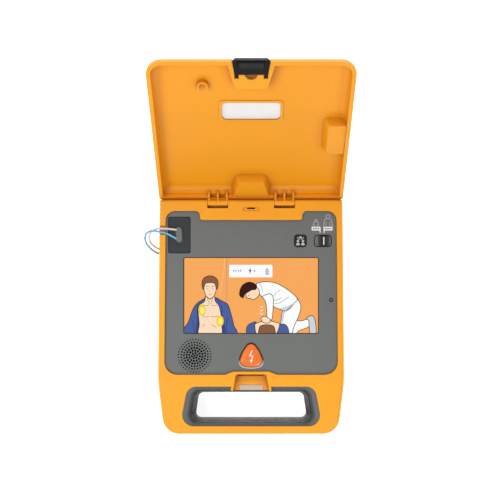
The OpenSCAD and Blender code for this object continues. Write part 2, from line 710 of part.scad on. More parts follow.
back_shell();
front_frame();
case_seal();
case_screws();
handle_grip();
fascia();
speaker_grille();
speaker_driver();
microphone();
display_lens();
lcd_module();
lcd_gasket();
shock_bezel();
shock_button();
shock_dome();
button_board();
language_button();
mode_slider();
control_board();
pads_socket();
pads_connector();
cable_boot();
white_lead();
blue_lead();
lead_grommet();
electrode_pouch();
pads_door();
battery_pack();
battery_contacts();
main_board();
board_posts();
hv_capacitor();
hv_inductor();
status_lens();
lid_switch();
hinge_pins();
lid();
lid_window();
lid_magnet();
lid_latch();
latch_pin();
latch_spring();
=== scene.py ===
"""Looks for an automated external defibrillator that lies on its back with its lid open.

Everything is in metres in the part's own frame: +Z out of the control panel, +Y to the lid hinge.
"""

import json
import math

import bmesh
import bpy
from mathutils import Matrix, Vector


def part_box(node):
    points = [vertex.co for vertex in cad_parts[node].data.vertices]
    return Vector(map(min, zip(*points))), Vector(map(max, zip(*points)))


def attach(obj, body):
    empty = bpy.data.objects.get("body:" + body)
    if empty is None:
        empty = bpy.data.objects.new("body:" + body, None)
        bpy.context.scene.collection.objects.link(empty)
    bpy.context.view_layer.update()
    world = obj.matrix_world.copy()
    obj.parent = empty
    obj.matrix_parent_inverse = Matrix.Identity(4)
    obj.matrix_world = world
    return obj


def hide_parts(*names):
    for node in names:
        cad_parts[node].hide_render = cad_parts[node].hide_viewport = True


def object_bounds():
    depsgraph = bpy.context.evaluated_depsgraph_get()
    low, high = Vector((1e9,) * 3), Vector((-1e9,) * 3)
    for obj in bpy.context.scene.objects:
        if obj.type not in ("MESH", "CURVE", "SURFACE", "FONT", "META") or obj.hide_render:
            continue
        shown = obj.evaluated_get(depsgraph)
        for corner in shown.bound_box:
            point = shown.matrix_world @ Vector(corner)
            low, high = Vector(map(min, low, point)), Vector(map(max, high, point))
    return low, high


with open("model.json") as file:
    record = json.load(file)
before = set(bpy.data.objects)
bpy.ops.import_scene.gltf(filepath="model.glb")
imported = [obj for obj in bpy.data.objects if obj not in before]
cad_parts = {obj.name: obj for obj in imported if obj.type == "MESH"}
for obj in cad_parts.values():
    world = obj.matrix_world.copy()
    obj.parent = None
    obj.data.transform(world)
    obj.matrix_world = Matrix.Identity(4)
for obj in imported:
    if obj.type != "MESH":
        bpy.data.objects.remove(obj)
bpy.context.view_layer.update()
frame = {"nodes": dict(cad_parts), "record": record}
NODES = frame["nodes"]
MM = 0.001

# ---------- camera, floor and light ----------

CAMERA_AT = (-0.0013, 0.0677, 1.216)
LENS = 72.4
SENSOR = 36.0


def make_camera():
    data = bpy.data.cameras.new("camera")
    data.lens = LENS
    data.sensor_width = SENSOR
    camera = bpy.data.objects.new("camera", data)
    bpy.context.scene.collection.objects.link(camera)
    camera.location = CAMERA_AT
    bpy.context.scene.camera = camera


make_camera()

# ---------- node trees ----------


def new_material(name):
    material = bpy.data.materials.new(name)
    material.use_nodes = True
    tree = material.node_tree
    return material, tree, tree.nodes["Principled BSDF"]


def add(tree, kind, inputs=None, **settings):
    """A node with its inputs set from values or linked from sockets."""
    made = tree.nodes.new(kind)
    for key, value in settings.items():
        setattr(made, key, value)
    for key, value in (inputs or {}).items():
        if isinstance(value, bpy.types.NodeSocket):
            tree.links.new(value, made.inputs[key])
        else:
            made.inputs[key].default_value = value
    return made


def linear(rgb):
    """sRGB values from 0 to 255 as linear colour with alpha."""
    def one(v):
        v /= 255
        return v / 12.92 if v <= 0.04045 else ((v + 0.055) / 1.055) ** 2.4
    return (*(one(v) for v in rgb), 1.0)


def shade(color, factor):
    return (*(min(1.0, c * factor) for c in color[:3]), 1.0)


def object_coordinates(tree):
    return add(tree, "ShaderNodeTexCoord").outputs["Object"]


def noise(tree, scale, detail=3.0, roughness=0.5, stretch=None):
    vector = object_coordinates(tree)
    if stretch:
        vector = add(tree, "ShaderNodeMapping", {"Vector": vector, "Scale": stretch}).outputs[0]
    return add(tree, "ShaderNodeTexNoise",
               {"Vector": vector, "Scale": scale, "Detail": detail, "Roughness": roughness}
               ).outputs["Fac"]


def remap(tree, value, low, high, from_low=0.3, from_high=0.7):
    return add(tree, "ShaderNodeMapRange",
               {"Value": value, "From Min": from_low, "From Max": from_high,
                "To Min": low, "To Max": high}).outputs[0]


def mix(tree, factor, a, b, blend="MIX"):
    return add(tree, "ShaderNodeMix", {0: factor, 6: a, 7: b},
               data_type="RGBA", blend_type=blend).outputs[2]


def edge_mask(tree, low=0.515, high=0.6):
    """1 along outside edges, where handling polishes a part."""
    pointiness = add(tree, "ShaderNodeNewGeometry").outputs["Pointiness"]
    return remap(tree, pointiness, 0.0, 1.0, low, high)


def set_surface(tree, shader, color, roughness, height, depth, round_mm=0.0):
    normal = None
    if round_mm:
        normal = add(tree, "ShaderNodeBevel", {"Radius": round_mm * MM}, samples=4).outputs[0]
    inputs = {"Height": height, "Strength": 1.0, "Distance": depth}
    if normal:
        inputs["Normal"] = normal
    bump = add(tree, "ShaderNodeBump", inputs)
    tree.links.new(bump.outputs[0], shader.inputs["Normal"])
    tree.links.new(color, shader.inputs["Base Color"])
    tree.links.new(roughness, shader.inputs["Roughness"])


CREASE_REACH = 0.014


def moulded_plastic(name, rgb, roughness=0.42, grain=1500, depth=0.00002, wear=0.25, round_mm=0.6,
                    specular=0.5, crease_shade=None):
    """Injection-moulded plastic: spark-eroded grain, faint tone drift, polished edges and, where
    its crease colour is given, painted shade that darkens creases and inside corners through an
    ambient-occlusion mask."""
    material, tree, shader = new_material(name)
    base = linear(rgb)
    drift = noise(tree, 14, 2)
    color = mix(tree, remap(tree, drift, 0, 1), shade(base, 0.95), shade(base, 1.04))
    color = mix(tree, noise(tree, grain * 0.5, 2), shade(base, 0.97), color)
    worn = edge_mask(tree)
    scaled = add(tree, "ShaderNodeMath", {0: worn, 1: wear}, operation="MULTIPLY").outputs[0]
    color = mix(tree, scaled, color, shade(base, 1.25))
    if crease_shade:
        # painted shade: creases and inside corners darken towards the crease colour by ambient
        # occlusion
        open_side = add(tree, "ShaderNodeAmbientOcclusion", {"Distance": CREASE_REACH}, samples=6)
        crease_shade_mask = remap(tree, open_side.outputs["AO"], 0.7, 0, 0.45, 0.95)
        color = mix(tree, crease_shade_mask, color, linear(crease_shade))
    scuffs = noise(tree, 220, 5, 0.7, (1.0, 0.15, 1.0))
    rough = remap(tree, scuffs, roughness - 0.06, roughness + 0.07)
    set_surface(tree, shader, color, rough, noise(tree, grain, 2, 0.6), depth, round_mm)
    shader.inputs["Specular IOR Level"].default_value = specular
    return material


# heights where the grip's painted shade ends and its painted highlight is full
GRIP_SHADE_Z = 0.044
GRIP_HIGHLIGHT_Z = 0.053


def rubber(name, rgb, roughness=0.55, cell=900, depth=0.00005, specular=0.4, painted_top_light=None):
    """Soft rubber with a fine pebbled grain; where a top colour is given, a painted highlight
    towards the top and painted shade lower down, by height.
    """
    material, tree, shader = new_material(name)
    base = linear(rgb)
    pebbles = add(tree, "ShaderNodeTexVoronoi",
                  {"Vector": object_coordinates(tree), "Scale": cell}).outputs["Distance"]
    color = mix(tree, remap(tree, noise(tree, 25, 3), 0, 1), shade(base, 0.9), shade(base, 1.1))
    color = mix(tree, remap(tree, pebbles, 0, 0.35, 0, 0.8), color, shade(base, 0.8))
    if painted_top_light:
        # painted light: darker low down as shade, paler near the top as highlight, by height
        height = add(tree, "ShaderNodeSeparateXYZ", {0: object_coordinates(tree)}).outputs["Z"]
        high = remap(tree, height, 0, 1, GRIP_SHADE_Z, GRIP_HIGHLIGHT_Z)
        color = mix(tree, high, color, linear(painted_top_light))
    rough = remap(tree, noise(tree, 160, 4), roughness - 0.05, roughness + 0.1)
    set_surface(tree, shader, color, rough, pebbles, depth, 0.4)
    shader.inputs["Specular IOR Level"].default_value = specular
    return material


def metal(name, rgb, roughness=0.3, stretch=(1, 1, 1), scale=900):
    """Steel, brass or copper with fine drawing lines."""
    material, tree, shader = new_material(name)
    base = linear(rgb)
    lines = noise(tree, scale, 3, 0.6, stretch)
    color = mix(tree, lines, shade(base, 0.85), shade(base, 1.1))
    rough = remap(tree, lines, roughness - 0.07, roughness + 0.12)
    shader.inputs["Metallic"].default_value = 1.0
    set_surface(tree, shader, color, rough, lines, 0.00001, 0.2)
    return material


def vinyl(name, rgb):
    """Smooth cable jacket with faint flow marks and dust."""
    material, tree, shader = new_material(name)
    base = linear(rgb)
    color = mix(tree, remap(tree, noise(tree, 90, 4), 0, 1), shade(base, 0.93), shade(base, 1.05))
    rough = remap(tree, noise(tree, 400, 3), 0.28, 0.42)
    set_surface(tree, shader, color, rough, noise(tree, 600, 2), 0.00002)
    shader.inputs["Coat Weight"].default_value = 0.2
    return material


def clear_plastic(name, rgb, alpha, roughness):
    """Frosted or clear moulding that lets the light behind it through."""
    material, tree, shader = new_material(name)
    base = linear(rgb)
    color = mix(tree, noise(tree, 60, 3), shade(base, 0.97), base)
    rough = remap(tree, noise(tree, 500, 3), roughness - 0.04, roughness + 0.06)
    set_surface(tree, shader, color, rough, noise(tree, 900, 2), 0.00001, 0.3)
    shader.inputs["Alpha"].default_value = alpha
    return material


def lit(name, rgb, glow=0.9, texture=2200):
    """Part of the lit screen picture, with the faint grid of its cells under a clear cover."""
    material, tree, shader = new_material(name)
    base = linear(rgb)
    unlit = shade(base, 0.1)
    grid = add(tree, "ShaderNodeTexChecker",
               {"Vector": object_coordinates(tree), "Scale": texture,
                "Color1": shade(base, 0.985), "Color2": shade(base, 1.01)}).outputs["Color"]
    color = mix(tree, noise(tree, 20, 2), shade(base, 0.97), grid)
    rough = remap(tree, noise(tree, 300, 3), 0.22, 0.32)
    body = mix(tree, noise(tree, 40, 2), unlit, shade(unlit, 1.1))
    set_surface(tree, shader, body, rough, noise(tree, 500, 2), 0.000004)
    tree.links.new(color, shader.inputs["Emission Color"])
    shader.inputs["Emission Strength"].default_value = glow
    shader.inputs["Specular IOR Level"].default_value = 0.15
    return material


def ink(name, rgb):
    """Pad-printed ink: matt, with a slight ragged tone."""
    material, tree, shader = new_material(name)
    base = linear(rgb)
    color = mix(tree, noise(tree, 700, 4, 0.7), shade(base, 0.88), base)
    rough = remap(tree, noise(tree, 500, 3), 0.5, 0.65)
    set_surface(tree, shader, color, rough, noise(tree, 1600, 2), 0.00001)
    return material


def circuit(name):
    """Green solder mask with copper tracks under it."""
    material, tree, shader = new_material(name)
    tracks = add(tree, "ShaderNodeTexBrick",
                 {"Vector": object_coordinates(tree), "Scale": 160, "Mortar Size": 0.03,
                  "Color1": linear((14, 82, 42)), "Color2": linear((10, 70, 36)),
                  "Mortar": linear((60, 130, 70))})
    color = mix(tree, noise(tree, 80, 3), tracks.outputs["Color"], linear((12, 74, 38)))
    rough = remap(tree, noise(tree, 200, 3), 0.25, 0.4)
    set_surface(tree, shader, color, rough, tracks.outputs["Fac"], 0.00003)
    return material


def foil(name):
    """Crinkled laminate foil."""
    material, tree, shader = new_material(name)
    creases = add(tree, "ShaderNodeTexVoronoi",
                  {"Vector": object_coordinates(tree), "Scale": 90},
                  feature="DISTANCE_TO_EDGE").outputs["Distance"]
    color = mix(tree, creases, linear((170, 174, 178)), linear((214, 216, 218)))
    shader.inputs["Metallic"].default_value = 0.9
    set_surface(tree, shader, color, remap(tree, creases, 0.2, 0.45), creases, 0.0006)
    return material


SELECTOR_RIB = 0.002
SELECTOR_END = 0.005


def selector_plastic(name):
    """Ribbed thumb slide, black at its middle rib and dusty grey at both ends."""
    material, tree, shader = new_material(name)
    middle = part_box("mode_slider")[0].x / 2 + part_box("mode_slider")[1].x / 2
    across = add(tree, "ShaderNodeSeparateXYZ", {0: object_coordinates(tree)}).outputs["X"]
    offset = add(tree, "ShaderNodeMath", {0: across, 1: middle}, operation="SUBTRACT").outputs[0]
    away = add(tree, "ShaderNodeMath", {0: offset}, operation="ABSOLUTE").outputs[0]
    color = mix(tree, remap(tree, away, 0, 1, SELECTOR_RIB, SELECTOR_END), linear((16, 17, 17)),
                linear((74, 76, 75)))
    color = mix(tree, noise(tree, 700, 3), shade(linear((60, 61, 61)), 0.6), color)
    set_surface(tree, shader, color, remap(tree, noise(tree, 400, 3), 0.4, 0.5),
                noise(tree, 1300, 2), 0.00002, 0.2)
    return material


# where the ring's painted highlight is full and where its painted shade begins
RING_HIGHLIGHT_Y = -0.064
RING_SHADE_Y = -0.058


def ring_plastic(name):
    """Clear ring round the shock button, with a painted highlight along its lower side and painted
    shade along its upper side.
    """
    material, tree, shader = new_material(name)
    along = add(tree, "ShaderNodeSeparateXYZ", {0: object_coordinates(tree)}).outputs["Y"]
    # painted light: pale highlight on the lower side, dark shade on the upper side
    painted_highlight_mask = remap(tree, along, 1, 0, RING_HIGHLIGHT_Y, RING_SHADE_Y)
    color = mix(tree, painted_highlight_mask, linear((52, 50, 49)), linear((196, 198, 200)))
    color = mix(tree, noise(tree, 300, 3), color, linear((120, 120, 122)), "SOFT_LIGHT")
    set_surface(tree, shader, color, remap(tree, noise(tree, 500, 3), 0.2, 0.32),
                noise(tree, 900, 2), 0.00001, 0.2)
    return material


ORANGE = (250, 164, 12)
MATERIALS = {
    # the shell's crease colour is painted shade for its creases and inside corners
    "orange_shell": moulded_plastic("orange_shell", ORANGE, 0.4, wear=0.3, round_mm=0.7,
                                    crease_shade=(176, 92, 2)),
    "panel_grey": moulded_plastic("panel_grey", (105, 108, 106), 0.46, 1300, 0.00003, 0.15, 0.35),
    "dark_plastic": moulded_plastic("dark_plastic", (42, 50, 53), 0.44, 1300, 0.00002, 0.3, 0.3,
                                    0.4),
    "control_plastic": moulded_plastic("control_plastic", (28, 29, 30), 0.42, 1300, 0.00002, 0.5,
                                       0.3, 0.4),
    "selector_plastic": selector_plastic("selector_plastic"),
    "black_plastic": moulded_plastic("black_plastic", (9, 11, 14), 0.48, 1200, 0.00002, 0.15, 0.5,
                                     0.25),
    # the grip's last colour is its painted highlight towards the top
    "grip_rubber": rubber("grip_rubber", (9, 9, 10), 0.42, 1100, 0.00002, 0.5, (112, 114, 116)),
    "black_rubber": rubber("black_rubber", (30, 30, 31)),
    "boot_rubber": rubber("boot_rubber", (112, 115, 114), 0.5, 1400, 0.00002),
    "screen": lit("screen", (248, 170, 92)),
    "shock_orange": moulded_plastic("shock_orange", (243, 120, 40), 0.25, 900, 0.000006, 0.2, 0.4),
    "light_ring": ring_plastic("light_ring"),
    "status_clear": clear_plastic("status_clear", (200, 186, 170), 1.0, 0.35),
    "window_clear": clear_plastic("window_clear", (240, 241, 243), 0.72, 0.4),
    "steel": metal("steel", (178, 180, 184), 0.28, (0.05, 1, 1)),
    "circuit_board": circuit("circuit_board"),
    "capacitor_sleeve": vinyl("capacitor_sleeve", (44, 58, 92)),
    "copper_wire": metal("copper_wire", (206, 118, 66), 0.3, (1, 1, 0.1), 1500),
    "gold_contact": metal("gold_contact", (222, 184, 96), 0.2),
    "white_jacket": vinyl("white_jacket", (222, 216, 208)),
    "blue_jacket": vinyl("blue_jacket", (104, 186, 236)),
    "foil": foil("foil"),
    "battery_case": moulded_plastic("battery_case", (56, 58, 60), 0.5, 1100, 0.00003, 0.3),
    "module_metal": metal("module_metal", (112, 114, 116), 0.45, (1, 0.1, 1)),
    "white_ink": ink("white_ink", (236, 238, 236)),
    "grey_ink": ink("grey_ink", (190, 193, 190)),
    "dark_ink": ink("dark_ink", (46, 48, 50)),
}

# ---------- mesh helpers ----------


def link(name, mesh, material):
    made = bpy.data.objects.new(name, mesh)
    bpy.context.scene.collection.objects.link(made)
    if material:
        mesh.materials.append(material)
    return made


def smooth_shade(mesh, angle=35):
    for face in mesh.polygons:
        face.use_smooth = True
    mesh.set_sharp_from_angle(angle=math.radians(angle))


def arc(a, b, c, d, steps):
    """Points of one Catmull-Rom arc, from b up to but not at c."""
    for k in range(steps):
        t = k / steps
        yield 0.5 * (2 * b + (c - a) * t + (2 * a - 5 * b + 4 * c - d) * t * t
                     + (3 * b - a - 3 * c + d) * t ** 3)


def loop(points, steps=6):
    """A smooth closed outline through points, as Catmull-Rom arcs."""
    n = len(points)
    out = []
    for i in range(n):
        out.extend(arc(*(Vector(points[(i + k - 1) % n]) for k in range(4)), steps))
    return out


def oval(x, y, rx, ry, turn=0.0, steps=28):
    out = []
    for i in range(steps):
        a = 2 * math.pi * i / steps
        p = Vector((rx * math.cos(a), ry * math.sin(a)))
        out.append(Matrix.Rotation(math.radians(turn), 2) @ p + Vector((x, y)))
    return out


def round_rectangle(x0, x1, y0, y1, r, steps=5):
    out = []
    for cx, cy, start in ((x1 - r, y1 - r, 0), (x0 + r, y1 - r, 90), (x0 + r, y0 + r, 180),
                          (x1 - r, y0 + r, 270)):
        for i in range(steps + 1):
            a = math.radians(start + 90 * i / steps)
            out.append(Vector((cx + r * math.cos(a), cy + r * math.sin(a))))
    return out


def curve(points, steps=5):
    """A smooth open line through points, as Catmull-Rom arcs."""
    p = [Vector(q) for q in points]
    last = len(p) - 1
    line = []
    for i in range(last):
        line.extend(arc(p[max(i - 1, 0)], p[i], p[i + 1], p[min(i + 2, last)], steps))
    line.append(p[-1])
    return line


def area(points):
    return sum(a.x * b.y - b.x * a.y for a, b in zip(points, points[1:] + points[:1])) / 2


def clipped(points, low, high):
    """An outline cut off at the lower and upper corner of a rectangle."""
    for axis, limit, keep in ((0, low[0], 1), (0, high[0], -1), (1, low[1], 1), (1, high[1], -1)):
        out = []
        for a, b in zip(points, points[1:] + points[:1]):
            da, db = (a[axis] - limit) * keep, (b[axis] - limit) * keep
            if da >= 0:
                out.append(a)
            if (da < 0) != (db < 0):
                out.append(a + (b - a) * (da / (da - db)))
        points = out
    return points


class Print:
    """Thin flat shapes of one colour, in millimetres, gathered into one piece."""

    def __init__(self, name, material):
        self.name, self.material, self.bm = name, material, bmesh.new()

    def plate(self, points, z0, z1):
        if area(points) < 0:
            points = points[::-1]
        low = [self.bm.verts.new((p[0] * MM, p[1] * MM, z0 * MM)) for p in points]
        high = [self.bm.verts.new((p[0] * MM, p[1] * MM, z1 * MM)) for p in points]
        self.bm.faces.new(low[::-1])
        self.bm.faces.new(high)
        n = len(points)
        for i in range(n):
            self.bm.faces.new((low[i], low[(i + 1) % n], high[(i + 1) % n], high[i]))

    def ribbon(self, line, width, z0, z1, closed=False):
        """A line of even width along points."""
        n = len(line)
        rings = []
        for i, p in enumerate(line):
            before = line[i - 1] if closed or i else p
            after = line[(i + 1) % n] if closed or i < n - 1 else p
            along = (after - before).normalized()
            side = Vector((-along.y, along.x)) * width / 2
            corners = ((p + side, z0), (p - side, z0), (p - side, z1), (p + side, z1))
            rings.append([self.bm.verts.new((q.x * MM, q.y * MM, z * MM)) for q, z in corners])
        for a, b in zip(rings, rings[1:] + (rings[:1] if closed else [])):
            for k in range(4):
                self.bm.faces.new((a[k], b[k], b[(k + 1) % 4], a[(k + 1) % 4]))
        if not closed:
            self.bm.faces.new(rings[0])
            self.bm.faces.new(rings[-1][::-1])

    def finish(self, body, slot):
        self.bm.normal_update()
        bmesh.ops.triangulate(self.bm, faces=[f for f in self.bm.faces if len(f.verts) > 4])
        bmesh.ops.recalc_face_normals(self.bm, faces=self.bm.faces)
        mesh = bpy.data.meshes.new(self.name)
        self.bm.to_mesh(mesh)
        self.bm.free()
        made = link(self.name, mesh, self.material)
        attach(made, body)
        return made


# ---------- CAD pieces: shading and materials ----------

SOFT_EDGES = {"pads_connector": 0.5, "language_button": 0.3, "lid_latch": 0.9, "status_lens": 0.3,
              "lid_window": 0.3, "battery_pack": 0.5, "pads_door": 0.4, "lead_grommet": 0.6,
              "mode_slider": 0.15, "display_lens": 0.25, "main_board": 0.1}


def round_edges(node, width_mm):
    """Rounds a CAD piece's hard edges with real geometry."""
    weld = node.modifiers.new("weld", "WELD")
    weld.merge_threshold = 0.00001
    bevel = node.modifiers.new("edges", "BEVEL")
    bevel.width = width_mm * MM
    bevel.segments = 3
    bevel.limit_method = "ANGLE"
    bevel.angle_limit = math.radians(40)
    bevel.use_clamp_overlap = True
    node.modifiers.new("normals", "WEIGHTED_NORMAL").keep_sharp = True


OTHER_LOOKS = {"language_button": "control_plastic", "mode_slider": "selector_plastic"}


def dress_cad():
    slots = {s["node"]: s["material_slot"] for s in frame["record"]["subparts"]}
    for name, node in NODES.items():
        node.data.materials.clear()
        node.data.materials.append(MATERIALS[OTHER_LOOKS.get(name, slots[name])])
        smooth_shade(node.data)
        if name in SOFT_EDGES:
            round_edges(node, SOFT_EDGES[name])


dress_cad()

# ---------- electrode leads ----------

LEAD_D = 0.0026
WHITE_ROUTE = [(-86, 91, 54.2), (-92, 91.8, 54.4), (-98, 92.4, 54.5), (-104, 92.6, 54.6),
               (-108.5, 92.3, 53.6), (-113, 90.8, 50.4), (-116.6, 88, 46), (-119, 84.2, 41),
               (-119.4, 79.8, 35.8), (-117.8, 75.6, 30.8), (-114.6, 72, 26.4), (-110.6, 69.6, 23),
               (-106.8, 68.4, 20.8), (-103, 68, 20)]
BLUE_ROUTE = [(-86, 80.5, 54.2), (-91, 83.4, 54.4), (-95.5, 85.8, 54.4), (-100, 87.4, 54.4),
              (-104.5, 88.3, 54.6), (-109, 89.2, 55), (-113.4, 89.8, 54.8), (-117.6, 89.2, 53),
              (-121.2, 87, 49.6), (-123.6, 82.8, 44.8), (-123.6, 77.6, 39), (-121, 72.4, 33),
              (-117, 67.8, 27.6), (-112.2, 64.6, 23.4), (-107, 63, 20.8), (-102, 62.8, 19.6)]


def make_lead(name, node, route, slot):
    """A lead on its route in millimetres from boot to grommet, of that length in metres."""
    line = curve([Vector(q) * MM for q in route])
    data = bpy.data.curves.new(name, "CURVE")
    data.dimensions = "3D"
    data.bevel_depth = LEAD_D / 2
    data.bevel_resolution = 5
    data.use_fill_caps = True
    data.materials.append(MATERIALS[slot])
    spline = data.splines.new("POLY")
    spline.points.add(len(line) - 1)
    for point, q in zip(spline.points, line):
        point.co = (*q, 1.0)
    spline.use_smooth = True
    lead = bpy.data.objects.new(name, data)
    bpy.context.scene.collection.objects.link(lead)
    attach(lead, "case")
    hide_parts(node)


make_lead("lead_white", "white_lead", WHITE_ROUTE, "white_jacket")
make_lead("lead_blue", "blue_lead", BLUE_ROUTE, "blue_jacket")

# ---------- electrode pouch ----------


def make_pouch():
    """A sealed foil sachet, crowned in the middle, with a flat crimped rim."""
    low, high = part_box("electrode_pouch")
    middle = (low + high) / 2
    half = (high - low) / 2
    rim = 0.006
    crown_reach = 0.009
    rim_half = 0.0003
    clearance = 0.0008
    ripple_height = 0.0004
    columns, rows = 36, 26
    bm = bmesh.new()
    sheets = []
    for side in (-1, 1):
        grid = []
        for j in range(rows + 1):
            row = []
            for i in range(columns + 1):
                u, v = 2 * i / columns - 1, 2 * j / rows - 1
                edge = min(1 - abs(u), (1 - abs(v)) * half.y / half.x) * half.x
                crown = 1 - math.exp(-max(0.0, edge - rim) / crown_reach)
                ripple = ripple_height * math.sin(31 * u + 5 * v) * math.cos(17 * v - 3 * u)
                z = side * (rim_half + (half.z * 0.93 - clearance) * crown + ripple * crown)
                row.append(bm.verts.new(middle + Vector((u * half.x, v * half.y, z))))
            grid.append(row)
        sheets.append(grid)
        for j in range(rows):
            for i in range(columns):
                corners = [grid[j][i], grid[j][i + 1], grid[j + 1][i + 1], grid[j + 1][i]]
                bm.faces.new(corners if side > 0 else corners[::-1])
    bottom, top = sheets
    border = ([(0, i) for i in range(columns)] + [(j, columns) for j in range(rows)]
              + [(rows, i) for i in range(columns, 0, -1)] + [(j, 0) for j in range(rows, 0, -1)])
    for (j, i), (l, k) in zip(border, border[1:] + border[:1]):
        bm.faces.new((bottom[j][i], bottom[l][k], top[l][k], top[j][i]))
    bmesh.ops.recalc_face_normals(bm, faces=bm.faces)
    mesh = bpy.data.meshes.new("pouch_foil")
    bm.to_mesh(mesh)
    bm.free()
    smooth_shade(mesh, 60)
    pouch = link("pouch_foil", mesh, MATERIALS["foil"])
    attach(pouch, "case")
    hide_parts("electrode_pouch")


make_pouch()

# ---------- screen picture, and painted shadow round it ---

SCREEN_LOW, SCREEN_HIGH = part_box("display_lens")
SCREEN_Z = SCREEN_HIGH.z / MM
LAYER = 0.006
SKIN = (252, 222, 190)
SHIRT = (74, 96, 160)
OUTLINE = (42, 30, 28)
EDGE = 0.75


class Picture:
    """The lit picture: flat shapes in layers on the screen's cover, one piece for each colour."""

    def __init__(self):
        self.prints = {}
        self.layer = 0
        edge = 0.6
        self.low = (SCREEN_LOW.x / MM + edge, SCREEN_LOW.y / MM + edge)
        self.high = (SCREEN_HIGH.x / MM - edge, SCREEN_HIGH.y / MM - edge)

    def sheet(self, color):
        """The piece that holds a colour, and the height of a new layer."""
        if color not in self.prints:
            material = lit("screen_" + color, COLORS[color])
            self.prints[color] = Print("screen_" + color, material)
        self.layer += 1
        return self.prints[color], SCREEN_Z + 0.02 + LAYER * self.layer

    def on_edge(self, p):
        return min(p.x - self.low[0], self.high[0] - p.x,
                   p.y - self.low[1], self.high[1] - p.y) < 0.01

    def draw(self, color, points, line=0.0):
        """A filled shape, with a dark line of that width round it."""
        points = clipped(points, self.low, self.high)
        made, z = self.sheet(color)
        made.plate(points, SCREEN_Z - 0.02, z)
        if line:
            self.outline(points, line)

    def outline(self, points, width):
        """A dark line along a shape, but for the stretches on the screen's edge."""
        start = next((i for i, p in enumerate(points)
                      if self.on_edge(p) and self.on_edge(points[i - 1])), None)
        if start is None:
            made, z = self.sheet("outline")
            made.ribbon(points, width, SCREEN_Z - 0.02, z, closed=True)
            return
        run = []
        for p in points[start:] + points[:start]:
            if self.on_edge(p) and run and self.on_edge(run[-1]):
                self.line("outline", run, width)
                run = []
            run.append(p)
        self.line("outline", run, width)

    def line(self, color, points, width):
        if len(points) > 1:
            made, z = self.sheet(color)
            made.ribbon(points, width, SCREEN_Z - 0.02, z)

    def finish(self):
        for made in self.prints.values():
            made.finish("case", "screen")


def make_screen_edge_shadow():
    """Dark band all round the rim of the screen's cover: painted shadow of the window's edge on the
    screen.
    """
    width = 0.9
    low, high = SCREEN_LOW / MM, SCREEN_HIGH / MM
    border = Print("screen_edge_shadow", MATERIALS["dark_ink"])
    half = width / 2
    rim = round_rectangle(low.x + half, high.x - half, low.y + half, high.y - half, 2.1)
    # painted shadow: a dark band all round the screen's rim
    border.ribbon(rim, width, SCREEN_Z - 0.3, SCREEN_Z + 0.5, closed=True)
    border.finish("case", "black_plastic")


COLORS = {
    "outline": OUTLINE, "skin": SKIN, "skin_shade": (232, 184, 148), "shirt": SHIRT,
    "shirt_shade": (50, 68, 124), "hair": (142, 92, 62), "dark_hair": (52, 22, 20),
    "white": (252, 252, 252), "cloth_shade": (206, 212, 220), "pad": (250, 206, 20),
    "pad_light": (255, 240, 130), "blue": (66, 80, 214), "line": (150, 152, 150),
    "pale_line": (252, 206, 160), "pale_blue": (158, 166, 222),
}


def bolt(x, y, height):
    """A lightning flash, centred at x, y."""
    shape = [(0.14, 0.5), (-0.24, -0.06), (-0.02, -0.06), (-0.14, -0.5), (0.24, 0.1), (0.02, 0.1)]
    return [Vector((x + a * height, y + b * height)) for a, b in shape]


def draw_backdrop(art):
    art.draw("line", round_rectangle(-28.5, -27.8, 8, 59, 0.2))
    art.line("pale_line", curve([(-31, 59), (-31.6, 42), (-36.5, 16)]), 0.45)
    art.draw("white", round_rectangle(-25.4, 24.7, 36, 50.6, 1.6))
    for x in (-21, -18.6, -15.4, -13):
        art.draw("pale_blue", round_rectangle(x, x + 1.5, 42.6, 44.8, 0.5))
    art.draw("blue", bolt(-1.2, 43.6, 8.6))
    art.draw("line", round_rectangle(3.2, 4.6, 42.4, 44.6, 0.5))
    for y in (39.2, 41.4, 43.6):
        art.draw("pale_blue", round_rectangle(16.4, 20.8, y, y + 1.6, 0.3))
    art.draw("pale_blue", round_rectangle(17.6, 19.6, 45.8, 47, 0.4))


